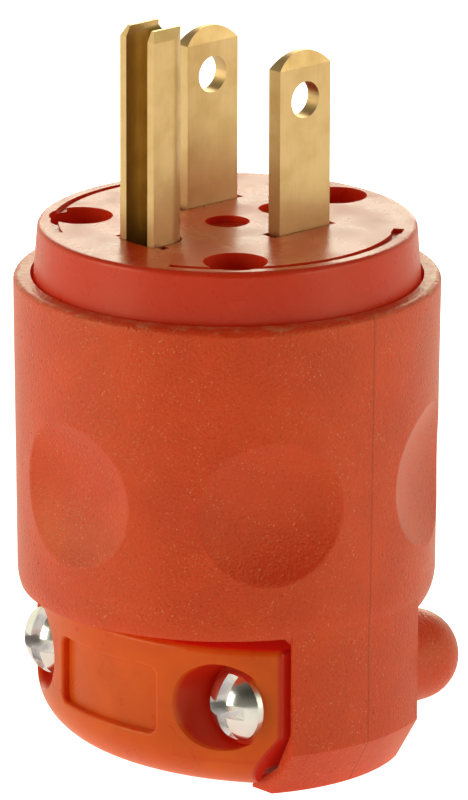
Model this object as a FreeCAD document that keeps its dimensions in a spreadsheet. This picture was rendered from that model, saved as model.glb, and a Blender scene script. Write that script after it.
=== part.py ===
import FreeCAD, Part
import Sketcher
import math
import os

# Rewireable grounding plug with two flat blades and a folded ground pin.
# Millimetres, +Z up through the blades, origin at the centre of the flat bottom.
# The cord clamp and the ground pin are on the front, towards -Y.

doc = FreeCAD.newDocument("GroundingPlug")
sheet = doc.addObject("Spreadsheet::Sheet", "Sizes")

SIZES = [
    # Body
    ("ringTop", 45.9, "top of the housing's ring above the bottom"),
    ("ringRadius", 20.05, "housing's outer radius at the ring"),
    ("bodyTaper", 0.3, "how much slimmer the body is above its lower corner"),
    ("ringRound", 0.6, "rounding of the ring's outer edge"),
    ("cutOver", 1, "how far a cut runs past a face"),
    ("underside", 12.7, "underside of the round body"),
    ("cornerRadius", 4.8, "rounding of the body's lower corner"),
    ("slabInset", 0.15, "slab's two ends inside the body"),
    ("slabHalf", 8.0, "half the slab's thickness"),
    ("chamferHeight", 4.4, "height of the cone at the slab's ends"),
    ("footInset", 2.55, "flat bottom inside the slab's ends"),
    # Hollow
    ("ringWall", 1.6, "wall of the ring round the carrier"),
    ("carrierGap", 0.3, "gap round the carrier's skirt at the ring"),
    ("ledgeDepth", 9.5, "ledge that the carrier sits on, below the ring's top"),
    ("ledgeWidth", 1.75, "width of that ledge"),
    ("floorThickness", 5.2, "from the underside up to the floor of the hollow"),
    ("hollowCorner", 3.2, "cone at the floor's corner"),
    ("postRadius", 3.7, "screw post"),
    ("boreSpare", 1.2, "post's bore past the end of its screw"),
    # Dimples
    ("dimpleCount", 6, "dimples round the body"),
    ("dimpleRise", 15.2, "centre of the dimples above the underside"),
    ("dimpleDepth", 1.65, "depth of a dimple"),
    ("dimpleUpright", 14.2, "radius of a dimple seen from the side"),
    ("dimpleAcross", 43.0, "radius of a dimple seen from above"),
    ("dimpleRound", 0.6, "rounding of a dimple's rim"),
    # Window and cord
    ("windowWall", 2.3, "body beyond the clamp's window at each side"),
    ("windowRise", 3.2, "top of the window above the underside"),
    ("windowRound", 0.2, "rounding of the window's upright edges"),
    ("cornerRise", 6.1, "height at which the window begins to narrow"),
    ("cornerStep", 1.65, "narrowing of the window at each side"),
    ("cornerBend", 2.7, "height of the bend under that narrowing"),
    ("lipInset", 5.05, "end of the lip inside the window's side"),
    ("lipEdge", 0.3, "thickness of the lip at its end"),
    ("seatDepth", 4.0, "seat of the clamp, in front of the axis"),
    ("cordHalf", 6.2, "half the width of the cord's way through the slab"),
    ("cordBack", 5.2, "back of the cord's way"),
    ("saddleRadius", 5.2, "cord saddle in the clamp"),
    ("saddleRib", 0.7, "height of the ribs in the saddle"),
    ("saddleRibWidth", 1.2, "width of a rib"),
    ("ribInset", 3.0, "a rib from the clamp's end"),
    # Clamp
    ("clampSideGap", 0.35, "gap at each side of the clamp"),
    ("clampTopGap", 1.3, "gap over the clamp"),
    ("clampBottom", 0.2, "bottom of the clamp"),
    ("clampArc", 24.0, "radius of the clamp's front"),
    ("clampInset", 3.7, "front of the clamp inside the slab's end radius"),
    ("clampEndRound", 0.8, "rounding of the clamp's upright front edges"),
    ("clampTopRound", 0.6, "rounding of the upper front edge"),
    ("clampBottomRound", 5.0, "rounding of the lower front edge"),
    ("clampCornerRise", 6.1, "height at which the clamp begins to narrow"),
    ("clampCornerInset", 3.8, "narrowing of the clamp's bottom at each side"),
    ("reliefLow", 0.7, "height of the relief over the housing's lip, at its end"),
    ("reliefInset", 4.9, "inner end of that relief, inside the clamp's ends"),
    ("reliefHigh", 3.1, "height of the relief at its outer end"),
    ("reliefOuter", 1.6, "outer end of the relief, inside the clamp's ends"),
    ("lipGap", 0.4, "gap in front of the lip"),
    ("panelHalf", 6.5, "half the width of the recessed panel"),
    ("panelTopEdge", 2.8, "clamp over the panel"),
    ("panelLowEdge", 5.1, "clamp under the panel"),
    ("panelDepth", 0.75, "depth of the panel"),
    ("panelRound", 0.8, "rounding of the panel's corners"),
    ("panelRim", 0.25, "rounding of the panel's rim"),
    # Clamp screws
    ("clampScrewInset", 4.0, "clamp screws from the clamp's ends"),
    ("clampScrewZ", 8.8, "height of the clamp screws"),
    ("clampScrewSink", 5.6, "underside of the heads behind the clamp's front"),
    ("clampHeadRadius", 3.25, "head"),
    ("clampHeadRim", 0.6, "straight rim of the head"),
    ("clampHeadHeight", 2.4, "whole head"),
    ("clampSlotWidth", 1.3, "screwdriver slot"),
    ("clampSlotDepth", 1.6, "its depth"),
    ("clampCrossWidth", 1.3, "cross recess"),
    ("clampCrossHalf", 2.3, "half its length"),
    ("clampCrossDepth", 1.9, "its depth"),
    ("clampShank", 1.7, "shank radius"),
    ("shankSpare", 0.8, "end of the shank from the insert's back"),
    ("shankGap", 0.25, "clearance round a shank in a free hole"),
    ("wellFloorRadius", 3.75, "floor of the hole round a head"),
    ("wellSlope", 0.26, "widening of that hole towards the front"),
    ("bossRadius", 4.4, "boss on the back"),
    ("bossCap", 2.9, "boss past the insert's back"),
    ("insertRadius", 2.6, "threaded insert"),
    ("insertStart", 5.6, "front of the insert, behind the axis"),
    ("insertLength", 7.8, "length of the insert"),
    ("threadGap", 0.05, "clearance round a thread in its hole"),
    # Carrier
    ("faceRise", 4.9, "face above the ring's top"),
    ("faceTaper", 0.35, "how much slimmer the face is than the skirt"),
    ("faceRound", 0.5, "rounding of the face's edge"),
    ("plateThickness", 5.0, "plate under the face"),
    ("assemblyInset", 2.85, "assembly screws inside the hollow's wall"),
    ("assemblyAngle", 50.5, "front assembly screws each side of the front"),
    ("wellRadius", 3.0, "wells of the assembly screws"),
    ("wellPlate", 2.0, "floor of the wells above the terminal block"),
    ("bossWall", 1.2, "wall round a well"),
    ("dotRadius", 2.1, "shallow round recesses in the face"),
    ("dotDepth", 0.7, "their depth"),
    ("dotY", 6.8, "second recess, behind the axis"),
    ("grooveInset", 1.65, "middle of the face's arc grooves inside its edge"),
    ("grooveWidth", 0.75, "their width"),
    ("grooveDepth", 0.4, "their depth"),
    ("grooveStart", -62, "front end of a groove, degrees from +X"),
    ("grooveNeck", 33, "where a groove widens, degrees from +X"),
    ("grooveEnd", 39, "rear end of a groove, degrees from +X"),
    ("grooveFlare", 0.15, "how much wider its end is at each side"),
    # Assembly screws
    ("assemblyHead", 2.7, "head radius"),
    ("assemblyHeadHeight", 2.2, "head height"),
    ("assemblyHeadRim", 0.8, "straight rim of the head"),
    ("assemblyShank", 1.7, "shank radius"),
    ("assemblyGrip", 7.4, "shank inside its post"),
    ("pointLength", 0.9, "cone at the end of a shank"),
    # Blades
    ("bladeSpacing", 12.7, "between the blades' middles"),
    ("bladeY", 3.22, "blades behind the axis"),
    ("bladeWidth", 6.35, "width of a blade"),
    ("bladeThickness", 1.52, "thickness of a blade"),
    ("bladeReach", 17.2, "tip above the face"),
    ("bladeBevel", 1.5, "height of the bevelled round tip"),
    ("bladeTipFlat", 0.6, "thickness left at the tip"),
    ("bladeHoleDrop", 4.65, "hole below the tip"),
    ("bladeHoleRadius", 1.75, "hole"),
    ("slotLength", 7.8, "blade slot in the face"),
    ("slotGap", 0.12, "clearance at a blade's flat sides"),
    # Ground pin
    ("pinHalf", 2.31, "half the pin's width"),
    ("pinCentre", 9.06, "centre of its round back, in front of the axis"),
    ("pinLeg", 2.31, "open edge of the pin, in front of that centre"),
    ("pinWall", 0.85, "sheet thickness"),
    ("pinReach", 20.4, "pin above the face"),
    ("pinTip", 1.0, "height of the tapered tip"),
    ("pinTaper", 0.5, "taper of the tip on each side"),
    ("pinNotchHalf", 1.5, "half the width of the notch in the tip's back"),
    ("pinNotchSide", 0.5, "straight side of that notch"),
    ("pinNotchRound", 1.7, "radius of its bottom"),
    ("pinSlotGap", 0.15, "clearance round the pin in the face"),
    ("pinSlotEar", 3.33, "half the width of the slot's cross cut"),
    ("pinSlotEarFront", 2.04, "front of the cross cut, in front of the pin's centre"),
    ("pinSlotEarBack", 1.14, "back of the cross cut, in front of the pin's centre"),
    # Terminals
    ("tabHalf", 4.7, "half the width of a terminal tab"),
    ("tabClearance", 0.4, "gap round a tab in the block"),
    ("blockGap", 0.4, "gap round the block in the hollow"),
    ("blockDrop", 10.8, "top of the block below the face"),
    ("blockHeight", 14.0, "height of the block"),
    ("pocketDepth", 10.4, "depth of the block's pockets"),
    ("terminalDrop", 5.4, "terminal screws below the block's top"),
    ("plateHalf", 3.6, "half the side of a pressure plate"),
    ("plateSheet", 1.2, "thickness of a pressure plate"),
    ("plateCorner", 0.6, "cut corners of a pressure plate"),
    ("terminalHead", 3.1, "head radius"),
    ("terminalHeadHeight", 1.9, "head height"),
    ("terminalHeadRim", 0.9, "straight rim of the head"),
    ("terminalShank", 1.95, "shank radius"),
    ("terminalLength", 6.2, "shank length"),
    ("wireSlotHalf", 1.6, "half the width of a wire slot"),
    # Drives
    ("slotWidth", 1.0, "screwdriver slot"),
    ("slotDepth", 1.1, "its depth"),
    ("crossWidth", 0.95, "cross recess"),
    ("crossHalf", 1.9, "half its length"),
    ("crossDepth", 1.5, "its depth"),
]

for row, (alias, number, note) in enumerate(SIZES, 1):
    sheet.set(f"A{row}", note)
    sheet.set(f"B{row}", str(number))
    sheet.setAlias(f"B{row}", alias)
doc.recompute()


def size(formula):
    return float(sheet.evalExpression(formula))


# Two edges closer than this are in the same place, and a cut takes at least this volume

SAME_PLACE = 0.01
LEAST_CUT = 0.001

# Sketches: every corner, centre and radius is bound to the sheet


def originFeature(body, role):
    return next(item for item in body.Origin.OriginFeatures if item.Role == role)


def newBody(label):
    return doc.addObject("PartDesign::Body", label)


def newSketch(body, name, plane, offset=("0", "0", "0")):
    sketch = body.newObject("Sketcher::SketchObject", name)
    sketch.AttachmentSupport = [(originFeature(body, plane), "")]
    sketch.MapMode = "FlatFace"
    for axis, formula in zip("xyz", offset):
        if formula != "0":
            sketch.setExpression(f"AttachmentOffset.Base.{axis}", formula)
    return sketch


def bind(sketch, kind, geometry, point, formula):
    # a coordinate is measured from the sketch's origin, a radius stands alone
    if kind == "Radius":
        constraint = Sketcher.Constraint(kind, geometry, size(formula))
    else:
        constraint = Sketcher.Constraint(kind, -1, 1, geometry, point, size(formula))
    index = sketch.addConstraint(constraint)
    sketch.setExpression(f"Constraints[{index}]", formula)


def circle(sketch, u, v, radius):
    centre = FreeCAD.Vector(size(u), size(v), 0)
    curve = Part.Circle(centre, FreeCAD.Vector(0, 0, 1), size(radius))
    geometry = sketch.addGeometry(curve, False)
    bind(sketch, "DistanceX", geometry, 3, u)
    bind(sketch, "DistanceY", geometry, 3, v)
    bind(sketch, "Radius", geometry, None, radius)


def arcBetween(start, end, radius, leftTurn):
    half = (end - start) * 0.5
    rise = math.sqrt(max(radius ** 2 - half.Length ** 2, 0))
    normal = FreeCAD.Vector(-half.y, half.x, 0).normalize()
    centre = start + half + normal * (rise if leftTurn else -rise)
    first, last = (start, end) if leftTurn else (end, start)
    angles = [math.atan2(point.y - centre.y, point.x - centre.x) for point in (first, last)]
    full = Part.Circle(centre, FreeCAD.Vector(0, 0, 1), radius)
    return Part.ArcOfCircle(full, angles[0], angles[1])


def loop(sketch, corners):
    # a corner is (u, v), or (u, v, turn, radius) where an arc arrives at it
    points = [FreeCAD.Vector(size(corner[0]), size(corner[1]), 0) for corner in corners]
    edges = []
    for index, corner in enumerate(corners):
        start, end = points[index - 1], points[index]
        if len(corner) == 2:
            geometry = sketch.addGeometry(Part.LineSegment(start, end), False)
            edges.append((geometry, 1, 2))
            continue
        turn, radius = corner[2:]
        curve = arcBetween(start, end, size(radius), turn == "left")
        geometry = sketch.addGeometry(curve, False)
        edges.append((geometry, 1, 2) if turn == "left" else (geometry, 2, 1))
    for index, corner in enumerate(corners):
        geometry, _, last = edges[index]
        following, first, _ = edges[(index + 1) % len(edges)]
        sketch.addConstraint(Sketcher.Constraint("Coincident", geometry, last, following, first))
        bind(sketch, "DistanceX", geometry, last, corner[0])
        bind(sketch, "DistanceY", geometry, last, corner[1])
        if len(corner) == 4:
            bind(sketch, "Radius", geometry, None, corner[3])


def rectangle(sketch, left, right, bottom, top):
    loop(sketch, [(left, bottom), (right, bottom), (right, top), (left, top)])


# Features


def extrude(kind, body, sketch, length, reverse=False, midplane=False):
    feature = body.newObject(f"PartDesign::{kind}", f"{sketch.Name}{kind}")
    feature.Profile = sketch
    feature.setExpression("Length", length)
    feature.Reversed = reverse
    feature.Midplane = midplane
    return feature


def pad(body, sketch, length, **options):
    return extrude("Pad", body, sketch, length, **options)


def pocket(body, sketch, length, **options):
    return extrude("Pocket", body, sketch, length, **options)


def spin(kind, body, sketch, axis, angle=360):
    feature = body.newObject(f"PartDesign::{kind}", f"{sketch.Name}{kind}")
    feature.Profile = sketch
    feature.ReferenceAxis = (sketch, [axis])
    feature.Angle = angle
    feature.Midplane = angle != 360
    return feature


def fillet(body, name, radius, picked):
    # rounds the edges of the body's present shape that the test picks
    doc.recompute()
    base = body.Tip
    names = [f"Edge{number}" for number, edge in enumerate(base.Shape.Edges, 1) if picked(edge)]
    feature = body.newObject("PartDesign::Fillet", name)
    feature.Base = (base, names)
    feature.setExpression("Radius", radius)
    return feature


def pivotLine(sketch, u, height):
    # an upright construction line that a groove turns about
    low, high = FreeCAD.Vector(size(u), 0, 0), FreeCAD.Vector(size(u), size(height), 0)
    geometry = sketch.addGeometry(Part.LineSegment(low, high), True)
    bind(sketch, "DistanceX", geometry, 1, u)
    bind(sketch, "DistanceX", geometry, 2, u)
    bind(sketch, "DistanceY", geometry, 1, "0")
    bind(sketch, "DistanceY", geometry, 2, height)


def near(value, target):
    return abs(value - target) < SAME_PLACE


# Radii, heights and depths that follow from the sizes

WAIST = "(Sizes.ringRadius - Sizes.bodyTaper)"
SKIRT = f"({WAIST} - Sizes.slabInset)"
FOOT = f"({SKIRT} - Sizes.footInset)"
RING_BORE = "(Sizes.ringRadius - Sizes.ringWall)"
CARRIER = f"({RING_BORE} - Sizes.carrierGap)"
FACE_EDGE = f"({CARRIER} - Sizes.faceTaper)"
HOLLOW = f"({RING_BORE} - Sizes.ledgeWidth)"
BLOCK = f"({HOLLOW} - Sizes.blockGap)"
ASSEMBLY = f"({HOLLOW} - Sizes.assemblyInset)"
GROOVE = f"({FACE_EDGE} - Sizes.grooveInset)"

LEDGE = "(Sizes.ringTop - Sizes.ledgeDepth)"
FACE = "(Sizes.ringTop + Sizes.faceRise)"
BLOCK_TOP = f"({FACE} - Sizes.blockDrop)"
WELL_FLOOR = f"({BLOCK_TOP} + Sizes.wellPlate)"
POST_TOP = f"({BLOCK_TOP} - Sizes.blockHeight)"
POCKET_FLOOR = f"({BLOCK_TOP} - Sizes.pocketDepth)"
TAB_BOTTOM = f"({POCKET_FLOOR} + Sizes.tabClearance)"
TERMINAL = f"({BLOCK_TOP} - Sizes.terminalDrop)"
HOLLOW_FLOOR = "(Sizes.underside + Sizes.floorThickness)"
DIMPLE = "(Sizes.underside + Sizes.dimpleRise)"
WINDOW_TOP = "(Sizes.underside + Sizes.windowRise)"
CLAMP_TOP = f"({WINDOW_TOP} - Sizes.clampTopGap)"
PANEL_TOP = f"({CLAMP_TOP} - Sizes.panelTopEdge)"
PANEL_BOTTOM = "(Sizes.clampBottom + Sizes.panelLowEdge)"

WINDOW = f"({WAIST} - Sizes.windowWall)"
CLAMP_HALF = f"({WINDOW} - Sizes.clampSideGap)"
CLAMP_FRONT = f"({SKIRT} - Sizes.clampInset)"
CLAMP_CENTRE = f"(Sizes.clampArc - {CLAMP_FRONT})"
SCREW_X = f"({CLAMP_HALF} - Sizes.clampScrewInset)"
SCREW_SEAT = f"({CLAMP_FRONT} - Sizes.clampScrewSink)"
INSERT_END = "(Sizes.insertStart + Sizes.insertLength)"
SHANK_END = f"({INSERT_END} - Sizes.shankSpare)"
BOSS_END = f"({INSERT_END} + Sizes.bossCap)"
PIN_FRONT = "(Sizes.pinCentre + Sizes.pinLeg)"
EAR_FRONT = "(Sizes.pinCentre + Sizes.pinSlotEarFront)"
EAR_BACK = "(Sizes.pinCentre + Sizes.pinSlotEarBack)"

# Places that several pieces share

SIDES = {"left": -1, "right": 1}
DIMPLE_SWEEP = 40
ASSEMBLY_PLACES = {
    "left": (f"-{ASSEMBLY} * sin(Sizes.assemblyAngle * 1deg)",
             f"-{ASSEMBLY} * cos(Sizes.assemblyAngle * 1deg)"),
    "right": (f"{ASSEMBLY} * sin(Sizes.assemblyAngle * 1deg)",
              f"-{ASSEMBLY} * cos(Sizes.assemblyAngle * 1deg)"),
    "rear": ("0", ASSEMBLY),
}


# Outer housing: a round body on a slab, with dimples, a window and two bosses


def housingBody():
    body = newBody("outer_housing")

    profile = newSketch(body, "BodyProfile", "XZ_Plane")
    loop(profile, [
        ("0", "Sizes.underside"),
        (f"{WAIST} - Sizes.cornerRadius", "Sizes.underside"),
        (WAIST, "Sizes.underside + Sizes.cornerRadius", "left", "Sizes.cornerRadius"),
        ("Sizes.ringRadius", "Sizes.ringTop - Sizes.ringRound"),
        ("Sizes.ringRadius - Sizes.ringRound", "Sizes.ringTop", "left", "Sizes.ringRound"),
        ("0", "Sizes.ringTop"),
    ])
    spin("Revolution", body, profile, "V_Axis")

    slabEnd = f"sqrt({SKIRT}^2 - Sizes.slabHalf^2)"
    slab = newSketch(body, "SlabOutline", "XY_Plane")
    loop(slab, [
        (slabEnd, "-Sizes.slabHalf"),
        (slabEnd, "Sizes.slabHalf", "left", SKIRT),
        ("-" + slabEnd, "Sizes.slabHalf"),
        ("-" + slabEnd, "-Sizes.slabHalf", "left", SKIRT),
    ])
    pad(body, slab, "Sizes.underside + Sizes.cornerRadius")

    for side, sign in SIDES.items():
        boss = newSketch(body, f"Boss_{side}", "XY_Plane",
                         (f"{sign} * {SCREW_X}", "0", "Sizes.clampScrewZ"))
        loop(boss, [
            ("0", "0"),
            ("Sizes.bossRadius", "0"),
            ("Sizes.bossRadius", f"{BOSS_END} - Sizes.bossRadius"),
            ("0", BOSS_END, "left", "Sizes.bossRadius"),
        ])
        spin("Revolution", body, boss, "V_Axis")

    cone = newSketch(body, "FootCone", "XZ_Plane")
    loop(cone, [
        (FOOT, "-Sizes.cutOver"),
        (FOOT, "0"),
        (SKIRT, "Sizes.chamferHeight"),
        ("Sizes.ringRadius + Sizes.cutOver", "Sizes.chamferHeight"),
        ("Sizes.ringRadius + Sizes.cutOver", "-Sizes.cutOver"),
    ])
    spin("Groove", body, cone, "V_Axis")

    hollow = newSketch(body, "Hollow", "XZ_Plane")
    loop(hollow, [
        ("0", HOLLOW_FLOOR),
        (f"{HOLLOW} - Sizes.hollowCorner", HOLLOW_FLOOR),
        (HOLLOW, f"{HOLLOW_FLOOR} + Sizes.hollowCorner"),
        (HOLLOW, LEDGE),
        (f"{CARRIER} + Sizes.carrierGap", LEDGE),
        (f"{CARRIER} + Sizes.carrierGap", "Sizes.ringTop + Sizes.cutOver"),
        ("0", "Sizes.ringTop + Sizes.cutOver"),
    ])
    spin("Groove", body, hollow, "V_Axis")

    posts = newSketch(body, "Posts", "XY_Plane", ("0", "0", f"{HOLLOW_FLOOR} - Sizes.cutOver"))
    bores = newSketch(body, "PostBores", "XY_Plane", ("0", "0", POST_TOP))
    for u, v in ASSEMBLY_PLACES.values():
        circle(posts, u, v, "Sizes.postRadius")
        circle(bores, u, v, "Sizes.assemblyShank + Sizes.threadGap")
    pad(body, posts, f"{POST_TOP} - {HOLLOW_FLOOR} + Sizes.cutOver")
    pocket(body, bores, "Sizes.assemblyGrip + Sizes.boreSpare")

    window = newSketch(body, "Window", "XZ_Plane", ("0", "0", "Sizes.seatDepth"))
    bend = f"({WINDOW} - Sizes.cornerStep)"
    lip = f"({WINDOW} - Sizes.lipInset)"
    loop(window, [
        (f"-{WINDOW}", WINDOW_TOP), (f"-{WINDOW}", "Sizes.cornerRise"),
        (f"-{bend}", "Sizes.cornerBend"), (f"-{lip}", "Sizes.lipEdge"), (f"-{lip}", "-Sizes.cutOver"),
        (lip, "-Sizes.cutOver"), (lip, "Sizes.lipEdge"), (bend, "Sizes.cornerBend"),
        (WINDOW, "Sizes.cornerRise"), (WINDOW, WINDOW_TOP),
    ])
    pocket(body, window, "Sizes.ringRadius + Sizes.cutOver - Sizes.seatDepth", reverse=True)
    fillet(body, "WindowRound", "Sizes.windowRound", windowEdge)

    cordWay = newSketch(body, "CordWay", "XY_Plane")
    loop(cordWay, [
        ("-Sizes.cordHalf", "-Sizes.seatDepth - Sizes.cutOver"),
        ("Sizes.cordHalf", "-Sizes.seatDepth - Sizes.cutOver"),
        ("Sizes.cordHalf", "Sizes.cordBack - Sizes.cordHalf"),
        ("0", "Sizes.cordBack", "left", "Sizes.cordHalf"),
        ("-Sizes.cordHalf", "Sizes.cordBack - Sizes.cordHalf", "left", "Sizes.cordHalf"),
    ])
    pocket(body, cordWay, f"{HOLLOW_FLOOR} + Sizes.cutOver", reverse=True)

    insertBores = newSketch(body, "InsertBores", "XZ_Plane", ("0", "0", "Sizes.seatDepth"))
    for sign in SIDES.values():
        circle(insertBores, f"{sign} * {SCREW_X}", "Sizes.clampScrewZ",
               "Sizes.insertRadius + Sizes.threadGap")
    pocket(body, insertBores, f"Sizes.seatDepth + {INSERT_END} + Sizes.threadGap")

    dimple = newSketch(body, "Dimple", "YZ_Plane")
    deepest = f"({WAIST} - Sizes.dimpleDepth)"
    chord = "(Sizes.ringRadius + Sizes.cutOver)"
    reach = f"({chord} - {deepest})"
    rise = f"sqrt(Sizes.dimpleUpright^2 - (Sizes.dimpleUpright - {reach})^2)"
    loop(dimple, [
        ("-" + chord, f"{DIMPLE} + {rise}"),
        ("-" + chord, f"{DIMPLE} - {rise}", "right", "Sizes.dimpleUpright"),
    ])
    pivotLine(dimple, f"-{deepest} - Sizes.dimpleAcross", DIMPLE)
    scoop = spin("Groove", body, dimple, "Axis0", angle=DIMPLE_SWEEP)
    pattern = body.newObject("PartDesign::PolarPattern", "Dimples")
    pattern.Originals = [scoop]
    pattern.Axis = (originFeature(body, "Z_Axis"), [""])
    pattern.Angle = 360
    pattern.setExpression("Occurrences", "Sizes.dimpleCount")
    body.Tip = pattern
    fillet(body, "DimpleRound", "Sizes.dimpleRound", dimpleRim)
    return body


def windowEdge(edge):
    # the two upright edges where the window meets the round slab
    box = edge.BoundBox
    upright = near(box.XMin, box.XMax) and near(abs(box.XMin), size(WINDOW)) and near(box.YMin, box.YMax)
    return upright and box.YMin < -size("Sizes.seatDepth") - SAME_PLACE


def dimpleRim(edge):
    # a dimple's closed rim is level with the dimple's centre
    box = edge.BoundBox
    level = abs(box.Center.z - size(DIMPLE)) < size("Sizes.dimpleDepth")
    return level and "BSpline" in edge.Curve.TypeId and box.ZLength > size("Sizes.dimpleDepth")


# Cord clamp: an arched block with two screw wells, a cord saddle and a bare recessed panel


def clampBody():
    body = newBody("cord_clamp")
    arcCentre = CLAMP_CENTRE
    endY = f"{arcCentre} - sqrt(Sizes.clampArc^2 - {CLAMP_HALF}^2)"

    plan = newSketch(body, "ClampPlan", "XY_Plane", ("0", "0", "Sizes.clampBottom"))
    loop(plan, [
        (f"-{CLAMP_HALF}", endY),
        (CLAMP_HALF, endY, "left", "Sizes.clampArc"),
        (CLAMP_HALF, "-Sizes.seatDepth"),
        ("Sizes.saddleRadius", "-Sizes.seatDepth"),
        ("0", "-Sizes.seatDepth - Sizes.saddleRadius", "right", "Sizes.saddleRadius"),
        ("-Sizes.saddleRadius", "-Sizes.seatDepth", "right", "Sizes.saddleRadius"),
        (f"-{CLAMP_HALF}", "-Sizes.seatDepth"),
    ])
    pad(body, plan, f"{CLAMP_TOP} - Sizes.clampBottom")
    fillet(body, "ClampEndRound", "Sizes.clampEndRound", clampEnd)
    fillet(body, "ClampUpperRound", "Sizes.clampTopRound", clampCrown)

    under = newSketch(body, "ClampUnderRound", "YZ_Plane")
    roundTop = "(Sizes.clampBottom + Sizes.clampBottomRound)"
    loop(under, [
        (f"-{CLAMP_FRONT} - Sizes.cutOver", roundTop),
        (f"-{CLAMP_FRONT}", roundTop),
        (f"-{CLAMP_FRONT} + Sizes.clampBottomRound", "Sizes.clampBottom", "left", "Sizes.clampBottomRound"),
        (f"-{CLAMP_FRONT} + Sizes.clampBottomRound", "Sizes.clampBottom - Sizes.cutOver"),
        (f"-{CLAMP_FRONT} - Sizes.cutOver", "Sizes.clampBottom - Sizes.cutOver"),
    ])
    pivotLine(under, arcCentre, roundTop)
    spin("Groove", body, under, "Axis0")

    corners = newSketch(body, "ClampCorners", "XZ_Plane")
    relief = newSketch(body, "LipRelief", "XZ_Plane", ("0", "0", "Sizes.seatDepth"))
    outside = f"({CLAMP_HALF} + Sizes.cutOver)"
    below = "Sizes.clampBottom - Sizes.cutOver"
    for sign in SIDES.values():
        loop(corners, [
            (f"{sign} * {CLAMP_HALF}", "Sizes.clampCornerRise"),
            (f"{sign} * ({CLAMP_HALF} - Sizes.clampCornerInset)", "Sizes.clampBottom"),
            (f"{sign} * ({CLAMP_HALF} - Sizes.clampCornerInset)", below),
            (f"{sign} * {outside}", below),
            (f"{sign} * {outside}", "Sizes.clampCornerRise"),
        ])
        loop(relief, [
            (f"{sign} * ({CLAMP_HALF} - Sizes.reliefInset)", "Sizes.reliefLow"),
            (f"{sign} * ({CLAMP_HALF} - Sizes.reliefInset)", below),
            (f"{sign} * {outside}", below),
            (f"{sign} * {outside}", "Sizes.reliefHigh"),
            (f"{sign} * ({CLAMP_HALF} - Sizes.reliefOuter)", "Sizes.reliefHigh"),
        ])
    pocket(body, corners, f"2 * ({CLAMP_FRONT} + Sizes.cutOver)", midplane=True)
    pocket(body, relief, "Sizes.slabHalf + Sizes.lipGap - Sizes.seatDepth", reverse=True)

    panel = newSketch(body, "Panel", "XY_Plane", ("0", "0", PANEL_BOTTOM))
    innerArc = "(Sizes.clampArc - Sizes.panelDepth)"
    outerArc = "(Sizes.clampArc + 2 * Sizes.cutOver)"
    innerY = f"{arcCentre} - sqrt({innerArc}^2 - Sizes.panelHalf^2)"
    outerY = f"{arcCentre} - sqrt({outerArc}^2 - Sizes.panelHalf^2)"
    loop(panel, [
        ("-Sizes.panelHalf", outerY),
        ("Sizes.panelHalf", outerY, "left", outerArc),
        ("Sizes.panelHalf", innerY),
        ("-Sizes.panelHalf", innerY, "right", innerArc),
    ])
    pocket(body, panel, f"{PANEL_TOP} - {PANEL_BOTTOM}", reverse=True)
    fillet(body, "PanelRound", "Sizes.panelRound", panelCorner)
    fillet(body, "PanelRim", "Sizes.panelRim", panelRim)

    for side, sign in SIDES.items():
        well = newSketch(body, f"ClampWell_{side}", "XY_Plane",
                         (f"{sign} * {SCREW_X}", "0", "Sizes.clampScrewZ"))
        mouth = f"({CLAMP_FRONT} - {SCREW_SEAT} + Sizes.cutOver)"
        loop(well, [
            ("0", f"-{SCREW_SEAT}"),
            ("0", f"-{SCREW_SEAT} - {mouth}"),
            (f"Sizes.wellFloorRadius + {mouth} * Sizes.wellSlope", f"-{SCREW_SEAT} - {mouth}"),
            ("Sizes.wellFloorRadius", f"-{SCREW_SEAT}"),
        ])
        spin("Groove", body, well, "V_Axis")
    holes = newSketch(body, "ClampHoles", "XZ_Plane")
    for sign in SIDES.values():
        circle(holes, f"{sign} * {SCREW_X}", "Sizes.clampScrewZ",
               "Sizes.clampShank + Sizes.shankGap")
    pocket(body, holes, f"2 * {CLAMP_FRONT}", midplane=True)

    ribPlaces = ("Sizes.clampBottom + Sizes.ribInset",
                 f"{CLAMP_TOP} - Sizes.ribInset - Sizes.saddleRibWidth")
    for number, height in enumerate(ribPlaces, 1):
        rib = newSketch(body, f"SaddleRib{number}", "XY_Plane", ("0", "0", height))
        crest = "(Sizes.saddleRadius - Sizes.saddleRib)"
        base = "(Sizes.saddleRadius + Sizes.saddleRib)"
        loop(rib, [
            ("-" + base, "-Sizes.seatDepth"),
            ("0", f"-Sizes.seatDepth - {base}", "left", base),
            (base, "-Sizes.seatDepth", "left", base),
            (crest, "-Sizes.seatDepth"),
            ("0", f"-Sizes.seatDepth - {crest}", "right", crest),
            ("-" + crest, "-Sizes.seatDepth", "right", crest),
        ])
        pad(body, rib, "Sizes.saddleRibWidth")
    return body


def clampEnd(edge):
    # the two upright edges between the clamp's front and its ends
    box = edge.BoundBox
    upright = near(box.XMin, box.XMax) and near(abs(box.XMin), size(CLAMP_HALF)) and near(box.YMin, box.YMax)
    return upright and box.YMin < -size("Sizes.seatDepth") - SAME_PLACE


def clampCrown(edge):
    # the top edges along the clamp's front and ends
    box = edge.BoundBox
    level = near(box.ZMin, size(CLAMP_TOP)) and near(box.ZMax, size(CLAMP_TOP))
    outer = max(abs(box.XMin), abs(box.XMax)) > size("Sizes.saddleRadius") + SAME_PLACE
    return level and outer and box.YMin < -size("Sizes.seatDepth") - SAME_PLACE


def panelCorner(edge):
    # the short edges through the panel's four corners
    box = edge.BoundBox
    half = size("Sizes.panelHalf")
    side = near(abs(box.XMin), half) and near(abs(box.XMax), half) and near(box.XMin, box.XMax)
    return side and any(near(box.Center.z, size(level)) for level in (PANEL_TOP, PANEL_BOTTOM))


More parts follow.
